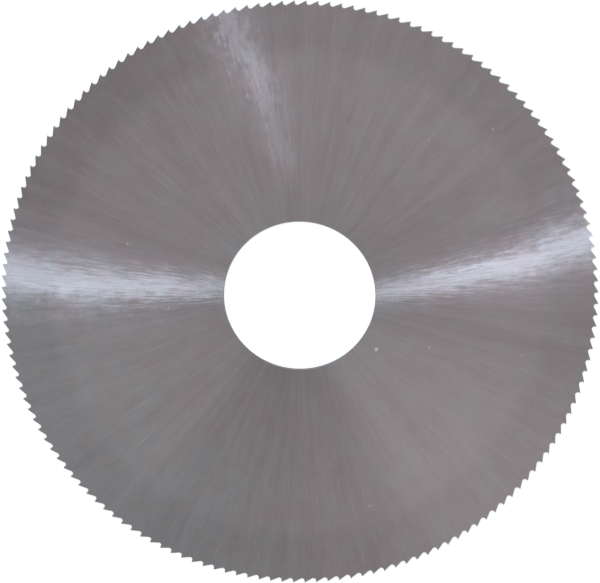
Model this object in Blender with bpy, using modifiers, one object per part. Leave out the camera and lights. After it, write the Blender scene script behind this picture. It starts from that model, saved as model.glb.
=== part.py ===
"""A slitting saw: a thin disc of high-speed steel with fine straight teeth.

The blade is one piece. A blank is turned with a plain bore, a flat clamping land round the bore,
shallow hollow-ground sides and a flat rim at full thickness. Its rim is then cut to the outline of
the teeth. The blade lies flat: its lower side is in the plane Z = 0, its bore is on the Z axis, and
a tooth tip is on +X. Seen from above it cuts clockwise.
"""

import math

import bmesh
import bpy
from mathutils import Vector

# Driving sizes, in metres and radians
TIP_DIAMETER = 0.1000
BORE_DIAMETER = 0.0254
THICKNESS = 0.000635
TOOTH_COUNT = 160
TOOTH_DEPTH = 0.00076
GULLET_RADIUS = 0.00045
RAKE_ANGLE = math.radians(0.0)
CLAMPING_LAND_DIAMETER = 0.0400
RIM_LAND_WIDTH = 0.0010
HOLLOW_DEPTH = 0.000020
BORE_CHAMFER = 0.00008

# Facets
GULLET_FACETS = 5
HOLLOW_FACETS = 4
SHARP_EDGE_ANGLE = math.radians(25.0)
WELD_DISTANCE = 1e-7

# What is left on the blank outside the tips, for the toothed outline to cut away
RIM_ALLOWANCE = 0.0003

# A gullet's round floor takes up at most this share of the tooth depth
LARGEST_FLOOR_SHARE = 0.9

# Sizes that follow
TIP_RADIUS = TIP_DIAMETER / 2
BORE_RADIUS = BORE_DIAMETER / 2
ROOT_RADIUS = TIP_RADIUS - TOOTH_DEPTH
PITCH_ANGLE = math.tau / TOOTH_COUNT
FILLET_RADIUS = min(GULLET_RADIUS, LARGEST_FLOOR_SHARE * TOOTH_DEPTH)
HOLLOW_INNER_RADIUS = CLAMPING_LAND_DIAMETER / 2
HOLLOW_OUTER_RADIUS = ROOT_RADIUS - RIM_LAND_WIDTH
BLANK_RADIUS = (TIP_RADIUS + RIM_ALLOWANCE) / math.cos(PITCH_ANGLE / 2)

# The blank has one facet for each tooth. Its edges meet the backs of the teeth a third of the way
# down, well clear of the tips and the gullets.
BLANK_FACETS = TOOTH_COUNT
FACET_EDGE_ANGLE = PITCH_ANGLE / 3

# Ground high-speed steel, as linear colour
STEEL_COLOR = (0.215, 0.195, 0.205, 1.0)
STEEL_ROUGHNESS = 0.35


def clear_scene():
    """Remove every object, so that the script can be run again in an open file."""
    for item in list(bpy.data.objects):
        bpy.data.objects.remove(item, do_unlink=True)


def new_collection(name):
    """Make a collection in the scene and return it."""
    collection = bpy.data.collections.new(name)
    bpy.context.scene.collection.children.link(collection)
    return collection


def high_speed_steel():
    """The bare steel of the whole blade."""
    material = bpy.data.materials.new("high_speed_steel")
    material.use_nodes = True
    shader = material.node_tree.nodes["Principled BSDF"]
    shader.inputs["Base Color"].default_value = STEEL_COLOR
    shader.inputs["Metallic"].default_value = 1.0
    shader.inputs["Roughness"].default_value = STEEL_ROUGHNESS
    return material


def polar(radius, angle):
    """A point in the plane of the blade."""
    return Vector((radius * math.cos(angle), radius * math.sin(angle)))


def turned(point, angle):
    """The point, turned counter-clockwise about the bore."""
    cosine, sine = math.cos(angle), math.sin(angle)
    return Vector((cosine * point.x - sine * point.y, sine * point.x + cosine * point.y))


def evaluated_mesh(item):
    """The object's mesh with its modifiers applied, or a curve's surface, with its seams welded."""
    bpy.context.view_layer.update()
    depsgraph = bpy.context.evaluated_depsgraph_get()
    mesh = bpy.data.meshes.new_from_object(item.evaluated_get(depsgraph))
    work = bmesh.new()
    work.from_mesh(mesh)
    bmesh.ops.remove_doubles(work, verts=work.verts, dist=WELD_DISTANCE)
    work.to_mesh(mesh)
    work.free()
    return mesh


def replace_by_mesh(item, name, collection):
    """Put a plain mesh object in the place of an object that modifiers or a curve describe."""
    plain = bpy.data.objects.new(name, evaluated_mesh(item))
    plain.matrix_world = item.matrix_world.copy()
    collection.objects.link(plain)
    bpy.data.objects.remove(item, do_unlink=True)
    return plain


def blank_section():
    """The blank's closed section as radius and height, out along the top and back along the bottom.

    The hollow between the two lands is a shallow arc, deepest halfway.
    """
    half = THICKNESS / 2
    top = [
        Vector((BORE_RADIUS, half - BORE_CHAMFER)),
        Vector((BORE_RADIUS + BORE_CHAMFER, half)),
    ]
    middle = (HOLLOW_INNER_RADIUS + HOLLOW_OUTER_RADIUS) / 2
    reach = (HOLLOW_OUTER_RADIUS - HOLLOW_INNER_RADIUS) / 2
    for facet in range(HOLLOW_FACETS + 1):
        across = 2 * facet / HOLLOW_FACETS - 1
        depth = HOLLOW_DEPTH * (1 - across**2)
        top.append(Vector((middle + across * reach, half - depth)))
    top.append(Vector((BLANK_RADIUS, half)))
    bottom = [Vector((point.x, -point.y)) for point in reversed(top)]
    return top + bottom


def turned_blank(collection):
    """The untoothed disc, its section turned about the bore by a Screw modifier."""
    section = blank_section()
    corners = []
    for point in section:
        place = polar(point.x, FACET_EDGE_ANGLE)
        corners.append((place.x, place.y, point.y))
    edges = [(index, (index + 1) % len(corners)) for index in range(len(corners))]
    mesh = bpy.data.meshes.new("blank_section")
    mesh.from_pydata(corners, edges, [])
    blank = bpy.data.objects.new("blank", mesh)
    blank.location.z = THICKNESS / 2
    collection.objects.link(blank)

    screw = blank.modifiers.new("turned", "SCREW")
    screw.axis = "Z"
    screw.angle = math.tau
    screw.steps = BLANK_FACETS
    screw.render_steps = BLANK_FACETS
    screw.use_merge_vertices = True
    screw.merge_threshold = WELD_DISTANCE
    return blank


def one_tooth():
    """The outline of one pitch, counter-clockwise from a tip on +X to just before the next tip.

    The back falls straight from the tip, runs into the round gullet, and the gullet runs into the
    cutting face of the next tooth. The gullet touches the back, the face and the root circle, so the
    angle of the back follows from the other sizes.
    """
    tip = polar(TIP_RADIUS, 0.0)
    next_tip = polar(TIP_RADIUS, PITCH_ANGLE)
    face_angle = PITCH_ANGLE + math.pi - RAKE_ANGLE
    down_face = polar(1.0, face_angle)
    off_face = polar(1.0, face_angle + math.pi / 2)

    # The gullet's centre is a fillet radius off the face, where it is as far above the root circle.
    start = next_tip + FILLET_RADIUS * off_face
    along = start.dot(down_face)
    reach = ROOT_RADIUS + FILLET_RADIUS
    distance = -along - math.sqrt(along**2 - start.length_squared + reach**2)
    centre = start + distance * down_face

    # The back is the lower of the two tangents from the tip to the gullet.
    to_tip = tip - centre
    tip_angle = math.atan2(to_tip.y, to_tip.x)
    back_angle = tip_angle - math.acos(FILLET_RADIUS / to_tip.length) + math.tau
    end_angle = face_angle - math.pi / 2
    points = [tip]
    for facet in range(GULLET_FACETS + 1):
        share = facet / GULLET_FACETS
        angle = back_angle + share * (end_angle - back_angle)
        points.append(centre + polar(FILLET_RADIUS, angle))
    return points


def toothed_plate(collection):
    """A plate with the outline of all the teeth, thicker than the blank that it cuts."""
    tooth = one_tooth()
    outline = []
    for index in range(TOOTH_COUNT):
        for point in tooth:
            outline.append(turned(point, index * PITCH_ANGLE))

    curve = bpy.data.curves.new("tooth_outline", "CURVE")
    curve.dimensions = "2D"
    curve.fill_mode = "BOTH"
    curve.extrude = THICKNESS
    spline = curve.splines.new("POLY")
    spline.points.add(len(outline) - 1)
    for knot, point in zip(spline.points, outline):
        knot.co = (point.x, point.y, 0.0, 1.0)
    spline.use_cyclic_u = True
    shape = bpy.data.objects.new("tooth_outline", curve)
    shape.location.z = THICKNESS / 2
    collection.objects.link(shape)

    plate = replace_by_mesh(shape, "tooth_cutter", collection)
    plate.display_type = "WIRE"
    plate.hide_render = True
    return plate


def saw_blade(collection, cutters):
    """The finished blade: the part of the blank that lies inside the outline of the teeth."""
    blank = turned_blank(collection)
    plate = toothed_plate(cutters)
    cut = blank.modifiers.new("teeth", "BOOLEAN")
    cut.operation = "INTERSECT"
    cut.solver = "EXACT"
    cut.object = plate
    blade = replace_by_mesh(blank, "saw_blade", collection)
    blade.data.shade_smooth()
    blade.data.set_sharp_from_angle(angle=SHARP_EDGE_ANGLE)
    blade.data.materials.clear()
    blade.data.materials.append(high_speed_steel())
    return blade


def main():
    """Build the saw."""
    clear_scene()
    saw = new_collection("slitting_saw")
    cutters = new_collection("cutters")
    saw_blade(saw, cutters)


main()
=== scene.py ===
# %% [markdown]
# # A slitting saw
#
# A slitting saw is a thin disc of high-speed steel with fine teeth round its rim. A milling machine
# clamps it by the bore and feeds it through the work to cut a narrow slot. This lesson takes the
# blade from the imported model, makes a finer mesh of it with Geometry Nodes, and gives it the look of
# ground steel: a sunburst of fine marks that catches the light in narrow bands.

# %% Load the part
import math

import bmesh
import bpy
import numpy as np
from mathutils import Matrix, Vector


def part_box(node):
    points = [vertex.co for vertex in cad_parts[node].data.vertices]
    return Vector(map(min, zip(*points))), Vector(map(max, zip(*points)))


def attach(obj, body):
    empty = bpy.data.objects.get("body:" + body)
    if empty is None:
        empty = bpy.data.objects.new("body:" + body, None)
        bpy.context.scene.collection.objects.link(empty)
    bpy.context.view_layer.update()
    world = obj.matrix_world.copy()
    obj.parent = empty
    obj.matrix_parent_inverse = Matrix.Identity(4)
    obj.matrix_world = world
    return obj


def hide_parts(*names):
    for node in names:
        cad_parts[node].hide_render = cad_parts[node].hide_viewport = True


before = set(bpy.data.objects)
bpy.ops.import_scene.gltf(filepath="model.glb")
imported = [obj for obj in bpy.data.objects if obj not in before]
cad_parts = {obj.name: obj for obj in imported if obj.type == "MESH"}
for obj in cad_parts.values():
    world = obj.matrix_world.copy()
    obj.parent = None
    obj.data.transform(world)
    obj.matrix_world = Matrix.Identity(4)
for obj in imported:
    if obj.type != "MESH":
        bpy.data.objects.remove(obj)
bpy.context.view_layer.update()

MM = 0.001


# %% [markdown]
# ## Sizes
#
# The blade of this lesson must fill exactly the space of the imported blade, so its outer sizes are
# measured on that. The tooth and the hollow of the sides have sizes of their own. They are the ones
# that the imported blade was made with, written here again because this script reads no other file.

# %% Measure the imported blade
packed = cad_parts["saw_blade"]
low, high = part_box("saw_blade")
corners = np.zeros(len(packed.data.vertices) * 3, np.float32)
packed.data.vertices.foreach_get("co", corners)
distances = np.hypot(*corners.reshape(-1, 3)[:, :2].T)

TIP_RADIUS = (high.x - low.x) / 2
BORE_RADIUS = float(distances.min())
THICKNESS = high.z - low.z

TOOTH_COUNT = 160
TOOTH_DEPTH = 0.76 * MM
GULLET_RADIUS = 0.45 * MM
CLAMPING_LAND_RADIUS = 20 * MM
RIM_LAND_WIDTH = 1.0 * MM
HOLLOW_DEPTH = 0.02 * MM
BORE_CHAMFER = 0.08 * MM

PITCH_ANGLE = math.tau / TOOTH_COUNT
ROOT_RADIUS = TIP_RADIUS - TOOTH_DEPTH
for name, size in (
        ("tip radius", TIP_RADIUS), ("bore radius", BORE_RADIUS), ("thickness", THICKNESS),
        ("pitch", TIP_RADIUS * PITCH_ANGLE)):
    print(f"{name} {size / MM:.3f} mm")


# %% [markdown]
# ## The shape of one tooth
#
# A form cutter leaves three things between two tips: the straight back of one tooth, a round floor,
# and the cutting face of the next tooth, which here stands radially. The floor touches the back, the
# face and the root circle. So pitch, depth and floor radius settle the whole tooth, and the slope of
# the back comes out of them. It needs only the centre of the floor and the two angles where it starts
# and ends.

# %% Work out the gullet
def polar(radius, angle):
    """A point in the plane of the blade."""
    return Vector((radius * math.cos(angle), radius * math.sin(angle), 0.0))


def gullet():
    """Centre of the round floor, and the angles at which it leaves the back and meets the face."""
    face_angle = PITCH_ANGLE + math.pi
    down_face = polar(1.0, face_angle)
    start = polar(TIP_RADIUS, PITCH_ANGLE) + polar(GULLET_RADIUS, face_angle + math.pi / 2)
    along = start.dot(down_face)
    reach = ROOT_RADIUS + GULLET_RADIUS
    centre = start + (-along - math.sqrt(along**2 - start.length_squared + reach**2)) * down_face
    to_tip = polar(TIP_RADIUS, 0.0) - centre
    lean = math.acos(GULLET_RADIUS / to_tip.length)
    back_angle = math.atan2(to_tip.y, to_tip.x) - lean + math.tau
    return centre, back_angle, face_angle - math.pi / 2


gullet_centre, back_angle, face_angle = gullet()
back_slope = math.degrees(back_angle - math.pi)
print(f"the back falls at {back_slope:.1f} degrees to the rim")


# %% [markdown]
# ## The section of the blade
#
# Cut along a radius, the blade shows a thin bar: a rounded corner at the bore, a flat land that the
# arbor's collars press on, a shallow hollow that keeps the sides off the walls of the slot, and a flat
# rim as thick as the bore. The section is a line of points that starts on the rim's upper side, runs
# in to the bore, and comes back underneath. It is the mesh that the Geometry Nodes start from. One
# point more lies just outside the bore's corner, so that the corner's shading stays in the corner.

# %% Draw the section
CORNER_STEPS = 3
HOLLOW_STEPS = 8
GUARD_REACH = 1.5 * BORE_CHAMFER
LAND_RADIUS = ROOT_RADIUS - RIM_LAND_WIDTH


def upper_section():
    """Radius and height of the section's upper half, from the bore's wall out to the rim's land."""
    points = []
    for step in range(CORNER_STEPS + 1):
        turn = step / CORNER_STEPS * math.pi / 2
        radius = BORE_RADIUS + BORE_CHAMFER * (1 - math.cos(turn))
        points.append((radius, THICKNESS - BORE_CHAMFER * (1 - math.sin(turn))))
    points.append((BORE_RADIUS + GUARD_REACH, THICKNESS))
    middle = (CLAMPING_LAND_RADIUS + LAND_RADIUS) / 2
    reach = (LAND_RADIUS - CLAMPING_LAND_RADIUS) / 2
    for step in range(HOLLOW_STEPS + 1):
        across = 2 * step / HOLLOW_STEPS - 1
        points.append((middle + across * reach, THICKNESS - HOLLOW_DEPTH * (1 - across**2)))
    return points


def section_object():
    """The section as a line of mesh points."""
    upper = upper_section()
    line = upper[::-1] + [(radius, THICKNESS - height) for radius, height in upper]
    mesh = bpy.data.meshes.new("ground_saw_blade")
    places = [(radius, 0, height) for radius, height in line]
    mesh.from_pydata(places, [(index, index + 1) for index in range(len(line) - 1)], [])
    section = bpy.data.objects.new("ground_saw_blade", mesh)
    bpy.context.scene.collection.objects.link(section)
    return section


section = section_object()
print("section points", len(section.data.vertices))


# %% [markdown]
# ## Nodes in one line each
#
# Every node tree below is built with one small function. It adds a node, sets its options, and fills
# its inputs with plain values or with the output sockets of other nodes.

# %% A helper for nodes
def add_node(tree, kind, inputs=None, **settings):
    """Add a node with its settings, and give each named or numbered input a value or a link."""
    node = tree.nodes.new(kind)
    for name, value in settings.items():
        setattr(node, name, value)
    for name, value in (inputs or {}).items():
        if isinstance(value, bpy.types.NodeSocket):
            tree.links.new(value, node.inputs[name])
        else:
            node.inputs[name].default_value = value
    return node


# %% [markdown]
# ## A disc and a ring of teeth
#
# The blade is made of two grids. One is as wide as the whole way round and as high as the section has
# points, and `Set Position` rolls it up into the disc inside the teeth. The other is one tooth wide: it
# runs from the disc's lower edge out to the tooth, up its thickness and back in to the disc's upper
# edge. Its points on the outline go where the gullet's centre, radius and two angles say. The tooth is
# then copied round the bore, once for each tooth, and `Merge by Distance` welds tooth to tooth and
# teeth to disc.
#
# Each inner point of the tooth lies two columns further round than its outer one, so that every face
# runs into the body of the tooth and none is folded flat against the cutting face.
#
# The 160 teeth could also be drawn as one curve that cuts a disc. That needs a Boolean, while the
# grids give clean four-sided faces at once.

# %% Build the tree
COLUMNS = 11
COLUMN_SHIFT = 2
TOOTH_ROWS = 4
MIDDLE_ROW = (TOOTH_ROWS - 1) / 2
PAST_FLOOR = 0.52
WELD_DISTANCE = 0.001 * MM
SHARP_ANGLE = math.radians(35)
FLAT_ANGLE = math.radians(5)


def toothed_disc_tree():
    """Geometry Nodes that turn the section into the whole toothed disc."""
    tree = bpy.data.node_groups.new("toothed_disc", "GeometryNodeTree")
    for name, kind in (
            ("Section", "Geometry"), ("Tooth Count", "Int"), ("Thickness", "Float"),
            ("Tip Radius", "Float"), ("Land Radius", "Float"), ("Gullet Centre", "Vector"),
            ("Gullet Radius", "Float"), ("Back Angle", "Float"), ("Face Angle", "Float"),
            ("Sides", "Material"), ("Teeth", "Material"), ("Bore", "Material")):
        tree.interface.new_socket(name, in_out="INPUT", socket_type=f"NodeSocket{kind}")
    tree.interface.new_socket("Blade", in_out="OUTPUT", socket_type="NodeSocketGeometry")

    def add(kind, inputs=None, **settings):
        return add_node(tree, kind, inputs, **settings)

    def math_of(operation, *values):
        return add("ShaderNodeMath", dict(enumerate(values)), operation=operation).outputs[0]

    def column_and_row(rows):
        index = add("GeometryNodeInputIndex").outputs[0]
        column = math_of("FLOOR", math_of("DIVIDE", index, rows))
        return column, math_of("SUBTRACT", index, math_of("MULTIPLY", column, rows))

    def round_bore(radius, angle, height=0.0):
        return add("ShaderNodeCombineXYZ", {
            "X": math_of("MULTIPLY", radius, math_of("COSINE", angle)),
            "Y": math_of("MULTIPLY", radius, math_of("SINE", angle)),
            "Z": height}).outputs[0]

    given = add("NodeGroupInput").outputs
    pitch = math_of("DIVIDE", math.tau, given["Tooth Count"])
    step = math_of("DIVIDE", pitch, COLUMNS)

    # The disc: each row of its grid is a point of the section, taken round the bore
    size = add("GeometryNodeAttributeDomainSize", {"Geometry": given["Section"]}, component="MESH")
    rows = size.outputs["Point Count"]
    across = math_of("MULTIPLY_ADD", given["Tooth Count"], COLUMNS, 1)
    disc_grid = add("GeometryNodeMeshGrid", {"Vertices X": across, "Vertices Y": rows}).outputs[0]
    column, row = column_and_row(rows)
    place = add("GeometryNodeInputPosition").outputs[0]
    sample = add("GeometryNodeSampleIndex", {"Geometry": given["Section"]}, data_type="FLOAT_VECTOR")
    tree.links.new(place, sample.inputs["Value"])
    tree.links.new(row, sample.inputs["Index"])
    spot = add("ShaderNodeSeparateXYZ", {0: sample.outputs[0]}).outputs
    rolled = round_bore(spot["X"], math_of("MULTIPLY", column, step), spot["Z"])
    disc = add("GeometryNodeSetPosition", {"Geometry": disc_grid, "Position": rolled}).outputs[0]

    # The tooth: its two middle rows follow the outline, a tip at each end and the gullet between. The
    # share is 0 where the gullet's floor starts, 1 where it ends, and outside that only at the tips.
    tooth_grid = add("GeometryNodeMeshGrid", {
        "Vertices X": COLUMNS + 1, "Vertices Y": TOOTH_ROWS}).outputs[0]
    column, row = column_and_row(TOOTH_ROWS)
    share = math_of("DIVIDE", math_of("SUBTRACT", column, 1), COLUMNS - 2)
    turn = add("ShaderNodeMapRange", {
        "Value": share, "To Min": given["Back Angle"], "To Max": given["Face Angle"]}, clamp=False)
    gullet = add("ShaderNodeVectorMath", {
        0: round_bore(given["Gullet Radius"], turn.outputs[0]), 1: given["Gullet Centre"]},
        operation="ADD").outputs[0]
    is_end = math_of("GREATER_THAN", math_of("ABSOLUTE", math_of("SUBTRACT", share, 0.5)), PAST_FLOOR)
    tip_angle = math_of("MULTIPLY", pitch, math_of("GREATER_THAN", share, 0.5))
    tip = round_bore(given["Tip Radius"], tip_angle)
    outline = add("GeometryNodeSwitch", {
        "Switch": is_end, "False": gullet, "True": tip}, input_type="VECTOR").outputs[0]
    inner_angle = math_of("MULTIPLY", math_of("ADD", column, COLUMN_SHIFT), step)
    inner = round_bore(given["Land Radius"], inner_angle)
    is_outline = math_of("LESS_THAN", math_of("ABSOLUTE", math_of("SUBTRACT", row, MIDDLE_ROW)), 1)
    flat = add("GeometryNodeSwitch", {
        "Switch": is_outline, "False": inner, "True": outline}, input_type="VECTOR").outputs[0]
    height = math_of("MULTIPLY", given["Thickness"], math_of("GREATER_THAN", row, MIDDLE_ROW))
    raised = add("ShaderNodeVectorMath", {
        0: flat, 1: add("ShaderNodeCombineXYZ", {"Z": height}).outputs[0]}, operation="ADD").outputs[0]
    tooth = add("GeometryNodeSetPosition", {"Geometry": tooth_grid, "Position": raised}).outputs[0]

    # The ring of teeth
    spots = add("GeometryNodePoints", {"Count": given["Tooth Count"]}).outputs[0]
    turned_by = math_of("MULTIPLY", add("GeometryNodeInputIndex").outputs[0], pitch)
    rotation = add("FunctionNodeEulerToRotation", {
        0: add("ShaderNodeCombineXYZ", {"Z": turned_by}).outputs[0]}).outputs[0]
    teeth = add("GeometryNodeInstanceOnPoints", {
        "Points": spots, "Instance": tooth, "Rotation": rotation}).outputs[0]
    joined = add("GeometryNodeJoinGeometry")
    tree.links.new(disc, joined.inputs[0])
    tree.links.new(teeth, joined.inputs[0])
    whole = add("GeometryNodeRealizeInstances", {"Geometry": joined.outputs[0]}).outputs[0]
    welded = add("GeometryNodeMergeByDistance", {
        "Geometry": whole, "Distance": WELD_DISTANCE}).outputs[0]

    # Smooth shading, broken at the sharp edges
    smooth = add("GeometryNodeSetShadeSmooth", {"Geometry": welded}, domain="FACE").outputs[0]
    bend = add("GeometryNodeInputMeshEdgeAngle").outputs["Unsigned Angle"]
    is_sharp = math_of("GREATER_THAN", bend, SHARP_ANGLE)
    shown = add("GeometryNodeSetShadeSmooth", {
        "Geometry": smooth, "Selection": is_sharp, "Shade Smooth": False}, domain="EDGE").outputs[0]

    # Sides, teeth and bore are finished in different ways. The rounded corner goes with the bore.
    facing = add("ShaderNodeSeparateXYZ", {0: add("GeometryNodeInputNormal").outputs[0]}).outputs["Z"]
    is_wall = math_of("LESS_THAN", math_of("ABSOLUTE", facing), math.cos(FLAT_ANGLE))
    reach = add("ShaderNodeVectorMath", {0: place}, operation="LENGTH").outputs["Value"]
    is_outer = math_of("GREATER_THAN", reach, math_of("MULTIPLY", given["Tip Radius"], 0.5))
    is_inner = math_of("SUBTRACT", 1.0, is_outer)
    for name, where in (("Sides", None), ("Teeth", is_outer), ("Bore", is_inner)):
        inputs = {"Geometry": shown, "Material": given[name]}
        if where:
            inputs["Selection"] = math_of("MULTIPLY", is_wall, where)
        shown = add("GeometryNodeSetMaterial", inputs).outputs[0]
    add("NodeGroupOutput", {"Blade": shown})
    return tree


toothed_disc = toothed_disc_tree()
print("nodes in the tree", len(toothed_disc.nodes), "faces in one tooth", (TOOTH_ROWS - 1) * COLUMNS)


# %% [markdown]
# ## Colours
#
# The colours are written as they look on a screen, in sRGB hex values. Shaders want linear light, so
# one function turns them.

# %% From hex to linear
def linear(hex_colour):
    """A colour such as '807A7C' as linear red, green, blue and full opacity."""
    parts = [int(hex_colour[at:at + 2], 16) / 255 for at in (0, 2, 4)]
    light = [c / 12.92 if c <= 0.04045 else ((c + 0.055) / 1.055) ** 2.4 for c in parts]
    return (*light, 1.0)


# %% [markdown]
# ## Ground high-speed steel
#
# The sides are ground across the disc from the bore to the rim while the disc turns slowly, so the
# marks run outwards like rays. Along a mark the surface is nearly a mirror. Across the marks it
# scatters light widely. The eye sees that as narrow bright bands where the marks lie square to the
# light, with streaks at their edges, and a plain mid grey everywhere else.
#
# `Anisotropic` on the shader makes such a surface. It needs the direction across the marks, which is
# the direction round the bore. No real mark runs exactly outwards. Here the marks aim at a point
# beside the bore's centre, along the rim at another one, and each misses its aim by a few millimetres.
# That bends the bands a little and frays their edges. Blotches of about a millimetre, as if the
# surface was rubbed there, turn the marks too and break the bands into glints. The grooves themselves
# are a bump a few thousandths of a millimetre deep.
#
# One thing here is a correction, and nothing known of a real blade. The shader's bands came out wider
# than real ones. So where they lie, the marks aim at points farther out and spread faster than rays,
# which narrows a band. The numbers of the finish are no measures of the steel either. They were found
# by trying many and comparing each render with a picture of a real blade.
#
# The streaks are noise in two coordinates, the direction from the centre and the distance from it.
# Using the direction as a pair of cosine and sine leaves no seam. The marks of a grinding wheel are
# commonly some 0.03 mm wide, far too fine to show here. The finest noise, `GROOVES`, has cells about
# nine times as wide at the rim and twice as wide at the bore. Its detail adds fainter marks of half
# and a quarter of that. The tone also changes slowly from the bore to the rim and in a zone along the
# rim. A wheel that wears while the disc turns may leave it so. It changes from sector to sector too,
# and that is painted reflection: lighter and darker sectors in place of the light and shade that a
# real blade mirrors from the room.
#
# The blade has been handled as well. Its tips and the edge of its bore are rubbed bright, and a few
# nicks shine. Painting that with the distance from the bore and from each nick needs no extra mesh.

# %% Choose the marks and tones
STEEL_WARM = "867D80"
STEEL_COOL = "7E7E80"
STEEL_WORN = "E6E2E0"

# Noises along the marks: width round the bore in degrees, length along the marks, a shift that sets
# each noise apart from the others, and detail
WEDGES = (10, 50 * MM, 150, 1)
STREAKS = (2.8, 22 * MM, 0, 4)
GRAIN = (0.7, 2.2 * MM, 17, 2)
SCRATCHES = (0.6, 7 * MM, 120, 2)
FRAYS = (0.7, 3.5 * MM, 40, 2)
GROOVES = (0.3, 2.5 * MM, 80, 2)

# Noises that are alike in all directions: size and detail
MOTTLES = (5 * MM, 3)
BLOTCHES = (1.3 * MM, 3)

# How much each noise changes the tone, the noise at which a scratch starts and is full, and how much
# cooler the mottles are
WEDGE_TONE, STREAK_TONE, GRAIN_TONE = 0.055, 0.14, 0.05
SCRATCH_TONE, MOTTLE_TONE, BLOTCH_TONE = 0.12, 0.08, 0.05
SCRATCH_START, SCRATCH_FULL = 0.2, 0.6
MOTTLE_COOL = 0.9

# Changes from the bore outwards: value at the bore, value farther out, and where that is reached, as a
# share of the tip radius
TONE_RAMP = (-0.07, 0.03, 0.7)
COOL_RAMP = (0.55, 0.25, 0.4)
ROUGH_RAMP = (-0.018, 0.0, 0.5)
FRAY_RAMP = (2.2 * MM, 2.6 * MM, 0.6)

# Soft sectors: direction and half width in degrees, strength at the bore and at the rim
# The tone sectors are painted reflection: lighter and darker sectors in place of mirrored light and
# shade
PAINTED_REFLECTION_SECTORS = [
    (317, 32, 0.14, 0.17), (259, 38, -0.155, -0.085), (141, 42, 0.05, -0.18),
    (178, 18, -0.05, -0.07)]
COOL_SECTOR = (221, 58, 0.0, 0.8)
AIM_SECTORS = [(9, 60, 0.0, 10 * MM), (103, 24, 0.0, 14 * MM), (184, 60, 0.0, 2 * MM)]
FRAY_SECTORS = [(184, 26, 1.4 * MM, -0.6 * MM), (103, 16, 0.0, 0.7 * MM)]
TURN_SECTOR = (102, 18, 0.0, 0.05)

# The rim zone: where it starts and is full, as shares of the tip radius, and its tone
RIM_ZONE = (0.79, 0.87, -0.09)

# How the marks run: towards a point AIM beside the bore's centre, which the correction for the bands,
# AIM_SECTORS, moves farther out, and past it by MISS, give or take the fraying. Blotches turn them by
# TURN, in radians, and by more in one sector.
AIM, RIM_AIM = (0.0, 0.63 * MM, 0.0), (-1.3 * MM, 1.5 * MM, 0.0)
MISS = -1.66 * MM
TURN = 0.035

# Depth of the grooves at the rim, and the power of the distance with which it falls towards the bore
GROOVE_DEPTH, GROOVE_POWER = 0.004 * MM, 0.2

# Roughness of dark and of bright streaks
ROUGH_LOW, ROUGH_HIGH = 0.22, 0.24

# How far the worn edges reach in, how bright they are, and their least share where the grain is dark
TIP_WEAR, BORE_WEAR, WORN, LEAST_WORN = 0.35 * MM, 0.2 * MM, 0.16, 0.3

# Nicks: direction in degrees, distance from the centre and size in millimetres, and strength
NICKS = [
    (323.6, 15.8, 1.0, 0.5), (337.0, 23.5, 0.6, 0.22), (162.1, 30.1, 0.7, 0.22),
    (287.1, 38.3, 0.6, 0.22), (40.7, 42.9, 0.6, 0.2), (343.9, 38.6, 0.6, 0.18),
    (50.2, 34.2, 0.6, 0.16), (184.9, 22.1, 0.5, 0.2)]
groove_cell = math.radians(GROOVES[0])
print("the groove noise has cells of", round(groove_cell * TIP_RADIUS / MM, 2), "mm at the rim and",
      round(groove_cell * BORE_RADIUS / MM, 2), "mm at the bore")


# %% [markdown]
# ## The finish as nodes
#
# Everything follows from where a point lies: its direction from the bore axis and its distance. Three
# small functions turn these into noise along the marks, a change from the bore outwards and a soft
# sector. The tone scales the grey, wear brightens it, and the noises bend the direction that the
# shader takes as its tangent.
#
# A Mix node has sockets for several kinds of value. Its inputs 6 and 7 and output 2 are colours, and
# its inputs 4 and 5 and output 1 are vectors.

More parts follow.
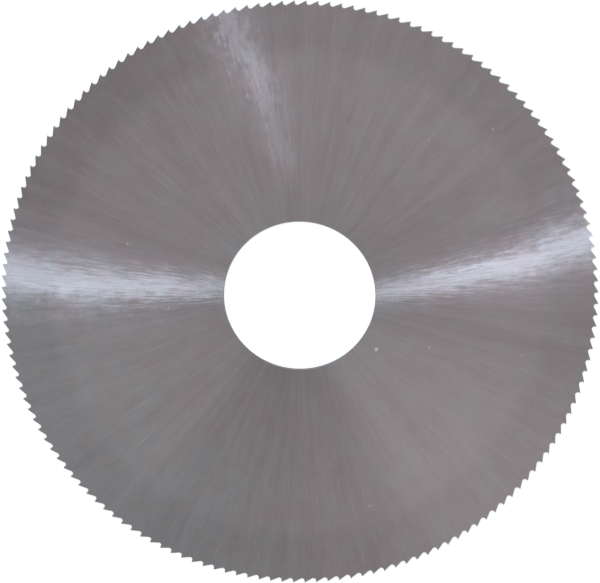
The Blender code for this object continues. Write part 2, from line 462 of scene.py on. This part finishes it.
# %% Build the finish of the sides
def ground_sides():
    """Ground high-speed steel: mid grey, with bright bands where the marks face the light."""
    material = bpy.data.materials.new("ground_high_speed_steel")
    material.use_nodes = True
    tree = material.node_tree
    shader = tree.nodes["Principled BSDF"]

    def add(kind, inputs=None, **settings):
        return add_node(tree, kind, inputs, **settings)

    def math_of(operation, *values):
        return add("ShaderNodeMath", dict(enumerate(values)), operation=operation).outputs[0]

    def spread(value, low, high, to_low=0.0, to_high=1.0, kind="LINEAR"):
        return add("ShaderNodeMapRange", {
            "Value": value, "From Min": low, "From Max": high, "To Min": to_low, "To Max": to_high},
            interpolation_type=kind).outputs[0]

    # Direction from the bore axis and distance from it
    place = add("ShaderNodeTexCoord").outputs["Object"]
    flat = add("ShaderNodeVectorMath", {0: place, 1: (1, 1, 0)}, operation="MULTIPLY").outputs[0]
    outward = add("ShaderNodeVectorMath", {0: flat}, operation="NORMALIZE").outputs[0]
    distance = add("ShaderNodeVectorMath", {0: flat}, operation="LENGTH").outputs["Value"]
    lift = add("ShaderNodeCombineXYZ", {"Z": distance}).outputs[0]
    rays = add("ShaderNodeVectorMath", {0: outward, 1: lift}, operation="ADD").outputs[0]

    def ray_noise(width, length, shift, detail):
        """Noise drawn out along the rays, about -1 to 1."""
        across = 1 / math.radians(width)
        scaled = add("ShaderNodeMapping", {
            "Vector": rays, "Location": (0, 0, shift), "Scale": (across, across, 1 / length)})
        noise = add("ShaderNodeTexNoise", {
            "Vector": scaled.outputs[0], "Scale": 1.0, "Detail": detail, "Roughness": 0.6}).outputs[0]
        return math_of("MULTIPLY_ADD", noise, 2.0, -1.0)

    def even_noise(size, detail):
        """Noise that is alike in all directions, about -1 to 1."""
        noise = add("ShaderNodeTexNoise", {
            "Vector": place, "Scale": 1 / size, "Detail": detail}).outputs[0]
        return math_of("MULTIPLY_ADD", noise, 2.0, -1.0)

    def ramp(at_bore, farther_out, share=1.0):
        """A value that changes from the bore out to a share of the tip radius."""
        return spread(distance, BORE_RADIUS, share * TIP_RADIUS, at_bore, farther_out)

    def sector(azimuth, half_width, at_bore, at_rim):
        """A soft-edged sector of the disc, with one strength at the bore and another at the rim."""
        nearness = add("ShaderNodeVectorMath", {
            0: outward, 1: polar(1.0, math.radians(azimuth))}, operation="DOT_PRODUCT").outputs["Value"]
        inside = spread(nearness, math.cos(math.radians(half_width)), 1.0, kind="SMOOTHSTEP")
        return math_of("MULTIPLY", inside, ramp(at_bore, at_rim))

    # Tone: all the noises, sectors of painted reflection, the rim zone, and darker at the bore
    streaks = ray_noise(*STREAKS)
    grain = ray_noise(*GRAIN)
    deep = ray_noise(*SCRATCHES)
    scratches = math_of("SUBTRACT", spread(deep, SCRATCH_START, SCRATCH_FULL),
                        spread(deep, -SCRATCH_START, -SCRATCH_FULL))
    mottle = even_noise(*MOTTLES)
    blotch = even_noise(*BLOTCHES)
    tone = 1.0
    for noise, weight in (
            (ray_noise(*WEDGES), WEDGE_TONE), (streaks, STREAK_TONE), (grain, GRAIN_TONE),
            (scratches, SCRATCH_TONE), (mottle, MOTTLE_TONE), (blotch, BLOTCH_TONE)):
        tone = math_of("MULTIPLY_ADD", noise, weight, tone)
    # Painted reflection: whole sectors made lighter or darker, where a real blade mirrors light or
    # shade
    for shape in PAINTED_REFLECTION_SECTORS:
        tone = math_of("ADD", tone, sector(*shape))
    zone_start, zone_end, zone_tone = RIM_ZONE
    in_zone = spread(distance, zone_start * TIP_RADIUS, zone_end * TIP_RADIUS, kind="SMOOTHSTEP")
    tone = math_of("MULTIPLY_ADD", in_zone, zone_tone, tone)
    tone = math_of("ADD", tone, ramp(*TONE_RAMP))

    # Colour: warm grey, cooler in one sector, near the bore and in mottles
    cool = math_of("ADD", sector(*COOL_SECTOR), ramp(*COOL_RAMP))
    cool = math_of("MULTIPLY_ADD", mottle, MOTTLE_COOL, cool)
    grey = add("ShaderNodeMix", {
        0: cool, 6: linear(STEEL_WARM), 7: linear(STEEL_COOL)}, data_type="RGBA").outputs[2]
    colour = add("ShaderNodeVectorMath", {0: grey, "Scale": tone}, operation="SCALE").outputs[0]

    # Wear: the tips and the bore's edge are rubbed bright, and a few nicks shine
    at_tips = spread(distance, TIP_RADIUS - TIP_WEAR, TIP_RADIUS, 0.0, WORN, kind="SMOOTHSTEP")
    at_bore = spread(distance, BORE_RADIUS, BORE_RADIUS + BORE_WEAR, WORN, 0.0, kind="SMOOTHSTEP")
    patchy = spread(grain, -0.3, 0.3, LEAST_WORN, 1.0)
    worn = math_of("MULTIPLY", math_of("ADD", at_tips, at_bore), patchy)
    for azimuth, radius, size, strength in NICKS:
        nick = polar(radius * MM, math.radians(azimuth))
        off = add("ShaderNodeVectorMath", {0: flat, 1: nick}, operation="DISTANCE").outputs["Value"]
        worn = math_of("ADD", worn, spread(off, 0, size / 2 * MM, strength, 0.0, kind="SMOOTHSTEP"))
    colour = add("ShaderNodeMix", {
        0: worn, 6: colour, 7: linear(STEEL_WORN)}, data_type="RGBA").outputs[2]
    tree.links.new(colour, shader.inputs["Base Color"])

    # Direction across the marks: square to the line from the aim
    aim = add("ShaderNodeMix", {0: in_zone, 4: AIM, 5: RIM_AIM}, data_type="VECTOR").outputs[1]
    for shape in AIM_SECTORS:
        out = polar(1.0, math.radians(shape[0]))
        shift = add("ShaderNodeVectorMath", {
            0: out, "Scale": sector(*shape)}, operation="SCALE").outputs[0]
        aim = add("ShaderNodeVectorMath", {0: aim, 1: shift}, operation="ADD").outputs[0]
    from_aim = add("ShaderNodeVectorMath", {0: flat, 1: aim}, operation="SUBTRACT").outputs[0]
    round_aim = add("ShaderNodeVectorMath", {0: (0, 0, 1), 1: from_aim}, operation="CROSS_PRODUCT")

    # That direction, skewed by the miss, by the fraying along the rays and by the blotches
    fray = ramp(*FRAY_RAMP)
    for shape in FRAY_SECTORS:
        fray = math_of("ADD", fray, sector(*shape))
    miss = math_of("MULTIPLY_ADD", ray_noise(*FRAYS), fray, MISS)
    turn = math_of("ADD", sector(*TURN_SECTOR), TURN)
    miss = math_of("MULTIPLY_ADD", math_of("MULTIPLY", blotch, distance), turn, miss)
    skewed = add("ShaderNodeVectorMath", {0: outward, "Scale": miss}, operation="SCALE").outputs[0]
    tangent = add("ShaderNodeVectorMath", {0: round_aim.outputs[0], 1: skewed}, operation="ADD")
    tree.links.new(tangent.outputs[0], shader.inputs["Tangent"])

    # Grooves, a little shallower towards the bore, and roughness
    groove_share = math_of("POWER", math_of("DIVIDE", distance, TIP_RADIUS), GROOVE_POWER)
    grooves = math_of("MULTIPLY", ray_noise(*GROOVES), groove_share)
    bump = add("ShaderNodeBump", {"Height": grooves, "Distance": GROOVE_DEPTH, "Strength": 1.0})
    tree.links.new(bump.outputs[0], shader.inputs["Normal"])
    rough = math_of("ADD", spread(streaks, -0.5, 0.5, ROUGH_LOW, ROUGH_HIGH), ramp(*ROUGH_RAMP))
    tree.links.new(rough, shader.inputs["Roughness"])

    shader.inputs["Metallic"].default_value = 1.0
    shader.inputs["Anisotropic"].default_value = 1.0
    return material


sides = ground_sides()
print("material", sides.name, "with", len(sides.node_tree.nodes), "nodes")


# %% [markdown]
# ## Teeth and bore
#
# The gullets are cut by a form cutter or a profiled wheel that runs across a whole stack of blades,
# so their marks run from side to side, and the eye sees clean grey steel. The bore is ground round and
# round, and its edges are broken with a stone, so bore and rounded corner are rougher. Their grey is
# also a bit darker. That is painted shade, which dims the reflections on the bore's wall and corner.
# Both surfaces are only as deep as the blade is thick, so a plain fine streak is enough. The widest
# marks are drawn with cells of 0.05 mm, a usual width for such marks, and not one that was measured.

# %% Build the finish of the edges
STEEL_TEETH, TEETH_ROUGHNESS = "7E797B", 0.32
# The bore's grey is darker than the teeth's as painted shade on the bore's wall and rounded corner
SHADED_BORE_STEEL, BORE_ROUGHNESS = "706B6C", 0.4

# Scales from the width and the length of a mark, the tone of a dark streak, and how far the roughness
# swings to either side
FINE = 1 / (0.05 * MM)
COARSE = 1 / (0.6 * MM)
DARK_STREAK = 0.8
ROUGH_SWING = 0.06


def edge_finish(name, hex_colour, roughness, streak_scale):
    """A ground edge: streaks that are fine in two directions and long in the third."""
    material = bpy.data.materials.new(name)
    material.use_nodes = True
    tree = material.node_tree
    shader = tree.nodes["Principled BSDF"]
    place = add_node(tree, "ShaderNodeTexCoord").outputs["Object"]
    scaled = add_node(tree, "ShaderNodeMapping", {"Vector": place, "Scale": streak_scale}).outputs[0]
    noise = add_node(tree, "ShaderNodeTexNoise", {
        "Vector": scaled, "Scale": 1.0, "Detail": 2}).outputs[0]
    light = linear(hex_colour)
    dark = tuple(DARK_STREAK * c for c in light[:3]) + (1.0,)
    mixed = add_node(tree, "ShaderNodeMix", {0: noise, 6: dark, 7: light}, data_type="RGBA").outputs[2]
    tree.links.new(mixed, shader.inputs["Base Color"])
    rough = add_node(tree, "ShaderNodeMapRange", {
        "Value": noise,
        "To Min": roughness - ROUGH_SWING,
        "To Max": roughness + ROUGH_SWING}).outputs[0]
    tree.links.new(rough, shader.inputs["Roughness"])
    shader.inputs["Metallic"].default_value = 1.0
    return material


teeth = edge_finish(
    "form_ground_high_speed_steel", STEEL_TEETH, TEETH_ROUGHNESS, (FINE, FINE, COARSE))
bore = edge_finish(
    "bore_ground_high_speed_steel", SHADED_BORE_STEEL, BORE_ROUGHNESS, (COARSE, COARSE, FINE))
print("materials", teeth.name, bore.name)


# %% [markdown]
# ## Make the blade
#
# The tree goes on the section as a modifier. Its inputs are set by their identifiers before it runs
# for the first time. The result is then taken as a plain mesh, and the section goes.

# %% Run the tree
def plain_mesh(item, tree, values):
    """Run a Geometry Nodes tree on an object, and leave the result as the object's own mesh."""
    modifier = item.modifiers.new(tree.name, "NODES")
    modifier.node_group = tree
    for socket in tree.interface.items_tree:
        if socket.in_out == "INPUT" and socket.name in values:
            modifier[socket.identifier] = values[socket.name]
    bpy.context.view_layer.update()
    depsgraph = bpy.context.evaluated_depsgraph_get()
    mesh = bpy.data.meshes.new_from_object(item.evaluated_get(depsgraph))
    item.modifiers.clear()
    item.data = mesh
    while mesh.materials and mesh.materials[0] is None:
        mesh.materials.pop(index=0)
    return item


def mesh_facts(item):
    """Triangles, open edges, volume and the number of faces of each material."""
    work = bmesh.new()
    work.from_mesh(item.data)
    volume = work.calc_volume(signed=True)
    loose = sum(not edge.is_manifold for edge in work.edges)
    work.free()
    item.data.calc_loop_triangles()
    counts = np.bincount([face.material_index for face in item.data.polygons])
    shares = {material.name: int(count) for material, count in zip(item.data.materials, counts)}
    triangles = len(item.data.loop_triangles)
    return f"{triangles} triangles, {loose} open edges, {volume / MM**3:.1f} mm3, {shares}"


blade = plain_mesh(section, toothed_disc, {
    "Tooth Count": TOOTH_COUNT,
    "Thickness": THICKNESS,
    "Tip Radius": TIP_RADIUS,
    "Land Radius": LAND_RADIUS,
    "Gullet Centre": gullet_centre,
    "Gullet Radius": GULLET_RADIUS,
    "Back Angle": back_angle,
    "Face Angle": face_angle,
    "Sides": sides,
    "Teeth": teeth,
    "Bore": bore,
})
print(blade.name, mesh_facts(blade))
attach(blade, "root")
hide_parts("saw_blade")

# %% [markdown]
# ## Table and backdrop
#
# The blade lies on a white table. The table is a plain matt white that also glows a little for the
# camera and for reflections, so that it comes out white while the shadow under the blade still shows.
# The world does the same: white to the camera and in reflections, and softer as a source of light.

# %% Make the table and the world
TABLE_RADIUS = 2.5
TABLE_WHITE = "D9D9D9"
TABLE_GLOW = 0.5
ROOM_LIGHT = 0.55


def seen_rays(tree):
    """1 for camera rays and for rays from metal or glass, 0 for rays that light matt surfaces."""
    path = add_node(tree, "ShaderNodeLightPath").outputs
    first = add_node(tree, "ShaderNodeMath", {
        0: path["Is Camera Ray"], 1: path["Is Glossy Ray"]}, operation="MAXIMUM").outputs[0]
    return add_node(tree, "ShaderNodeMath", {
        0: first, 1: path["Is Transmission Ray"]}, operation="MAXIMUM").outputs[0]


def table_finish():
    """Matt white that glows a little where it is seen."""
    material = bpy.data.materials.new("matt_white_board")
    material.use_nodes = True
    tree = material.node_tree
    shader = tree.nodes["Principled BSDF"]
    shader.inputs["Base Color"].default_value = linear(TABLE_WHITE)
    shader.inputs["Roughness"].default_value = 0.9
    shader.inputs["Specular IOR Level"].default_value = 0.0
    shader.inputs["Emission Color"].default_value = (1, 1, 1, 1)
    glow = add_node(tree, "ShaderNodeMath", {0: seen_rays(tree), 1: TABLE_GLOW}, operation="MULTIPLY")
    tree.links.new(glow.outputs[0], shader.inputs["Emission Strength"])
    return material


bpy.ops.mesh.primitive_circle_add(vertices=96, radius=TABLE_RADIUS, fill_type="NGON")
table = bpy.context.object
table.name = "white_table"
table.data.materials.append(table_finish())

world = bpy.data.worlds.new("white_room")
bpy.context.scene.world = world
world.use_nodes = True
background = world.node_tree.nodes["Background"]
background.inputs["Color"].default_value = (1, 1, 1, 1)
strength = add_node(world.node_tree, "ShaderNodeMapRange", {
    "Value": seen_rays(world.node_tree), "To Min": ROOM_LIGHT, "To Max": 1.0}).outputs[0]
world.node_tree.links.new(strength, background.inputs["Strength"])
print("table radius", TABLE_RADIUS, "m")


# %% [markdown]
# ## Lamps
#
# Lamps draw the bands. A band lies where the mark, the camera and the lamp agree: the direction
# halfway between lamp and camera must be square to the mark. A soft strip beyond the top of the blade
# gives the two wide bands left and right. Seen from right opposite a lamp, all the marks agree at once
# and the whole blade flashes white, so the strip hangs high and far away, where few views meet it. Two
# small spots in one place on the left give the narrow band near the top. One lights the part by the
# rim, and the other, less strongly, the part further in, so the band fades in two steps and ends
# before the bore.

# %% Place the lamps
def towards(azimuth, tilt):
    """Direction that leans off the bore axis by tilt, towards azimuth, both in degrees."""
    azimuth, tilt = math.radians(azimuth), math.radians(tilt)
    return polar(math.sin(tilt), azimuth) + Vector((0, 0, math.cos(tilt)))


def add_lamp(name, kind, place, aim, power, colour):
    """A lamp at a place, turned to shine at a point."""
    lamp = bpy.data.lights.new(name, kind)
    lamp.energy = power
    lamp.color = colour
    item = bpy.data.objects.new(name, lamp)
    item.location = place
    item.rotation_euler = (place - aim).to_track_quat("Z", "Y").to_euler()
    bpy.context.scene.collection.objects.link(item)
    return lamp


CENTRE = Vector((0, 0, THICKNESS))
COOL_WHITE = (0.82, 1.0, 1.17)

# The soft strip: place, width and length in metres, and power
STRIP_PLACE = CENTRE + 4.4 * towards(100.6, 24.0)
STRIP_WIDTH, STRIP_LENGTH, STRIP_POWER = 0.09, 0.59, 75

# The spots: their place, radius and softness, then for each its name, the distance in millimetres and
# the direction of the point that it shines at, its cone in degrees, and its power
SPOT_DISTANCE = 630 * MM
SPOT_PLACE = CENTRE + SPOT_DISTANCE * towards(201, 45.1)
SPOT_RADIUS, SPOT_BLEND = 4 * MM, 0.5
SPOTS = [("bright_spot", 51, 104, 3.8, 1.4), ("faint_spot", 40, 99.5, 4.0, 1.65)]

strip = add_lamp("soft_lamp", "AREA", STRIP_PLACE, CENTRE, STRIP_POWER, COOL_WHITE)
strip.shape = "RECTANGLE"
strip.size = STRIP_WIDTH
strip.size_y = STRIP_LENGTH
for name, radius, azimuth, cone, power in SPOTS:
    target = CENTRE + polar(radius * MM, math.radians(azimuth))
    spot = add_lamp(name, "SPOT", SPOT_PLACE, target, power, COOL_WHITE)
    spot.shadow_soft_size = SPOT_RADIUS
    spot.spot_size = math.radians(cone)
    spot.spot_blend = SPOT_BLEND
    print(name, "lights a circle of", round(SPOT_DISTANCE / MM * math.radians(cone)), "mm")


# %% [markdown]
# ## Camera
#
# The camera looks down on the lying blade from 13 degrees off the bore axis, through a long lens. It
# stands on the far side of the blade's top, so the top of the picture is nearer to it than the bottom.
# Its place is two angles and a distance, and its roll is settled by the direction on the blade that
# points up in the picture.

# %% Place the camera
CAMERA_AZIMUTH, CAMERA_TILT, CAMERA_DISTANCE = 83.57, 13.1, 776.5 * MM
PICTURE_UP_AZIMUTH = 89.04
LENS_MM, SENSOR_MM = 278.2, 36.0
SHIFT_X, SHIFT_Y = 0.00064, 0.0072

back = towards(CAMERA_AZIMUTH, CAMERA_TILT)
up = towards(PICTURE_UP_AZIMUTH, 90)
up = (up - up.dot(back) * back).normalized()
turn = Matrix((up.cross(back), up, back)).transposed().to_4x4()

camera = bpy.data.objects.new("camera", bpy.data.cameras.new("camera"))
camera.matrix_world = Matrix.Translation(CENTRE + CAMERA_DISTANCE * back) @ turn
camera.data.lens = LENS_MM
camera.data.sensor_width = SENSOR_MM
camera.data.shift_x = SHIFT_X
camera.data.shift_y = SHIFT_Y
bpy.context.scene.collection.objects.link(camera)
bpy.context.scene.camera = camera
bpy.context.scene.view_settings.view_transform = "Standard"
print("camera at", [round(c / MM) for c in camera.location], "mm")
